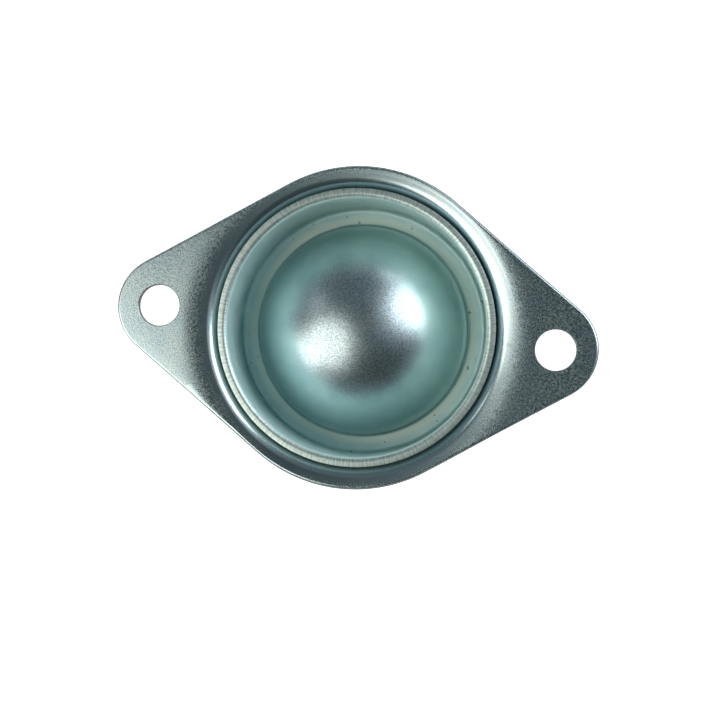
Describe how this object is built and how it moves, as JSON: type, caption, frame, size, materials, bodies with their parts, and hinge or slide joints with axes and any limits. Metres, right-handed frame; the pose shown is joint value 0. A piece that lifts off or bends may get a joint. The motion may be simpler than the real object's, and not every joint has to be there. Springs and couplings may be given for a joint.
{
  "type": "ball transfer unit",
  "caption": "Flanged ball transfer unit: a pressed steel housing with a diamond flange holds a large load ball on small bearing balls in a domed cup.",
  "frame": {"origin": "centre of the flange's seating face, on the axis of the load ball", "axes": "+Z out of the seating face, away from the load ball, and +X through the two mounting holes"},
  "size_m": [0.077, 0.0514, 0.0301],
  "materials": {
    "zinc_housing": "fine-grained zinc plating with a blue-green clear passivate",
    "zinc_cup": "smooth zinc plating with a teal passivate",
    "polished_steel": "ground and polished",
    "bearing_steel": "ground and polished"
  },
  "bodies": {
    "housing": {"housing": "zinc_housing", "bearing_cup": "zinc_cup"},
    "bearing_balls": {"ball_row_1": "bearing_steel", "ball_row_2": "bearing_steel", "ball_row_3": "bearing_steel", "ball_row_4": "bearing_steel", "ball_row_5": "bearing_steel", "ball_row_6": "bearing_steel", "ball_row_7": "bearing_steel", "ball_row_8": "bearing_steel"},
    "load_ball": {"load_ball": "polished_steel"}
  },
  "joints": [
    {"name": "ball_heading", "type": "hinge", "parent": "housing", "child": "bearing_balls", "pos_m": [0, 0, -0.01743], "axis": [0, 0, 1], "continuous": true},
    {"name": "ball_roll", "type": "hinge", "parent": "bearing_balls", "child": "load_ball", "pos_m": [0, 0, -0.01743], "axis": [1, 0, 0], "continuous": true}
  ]
}
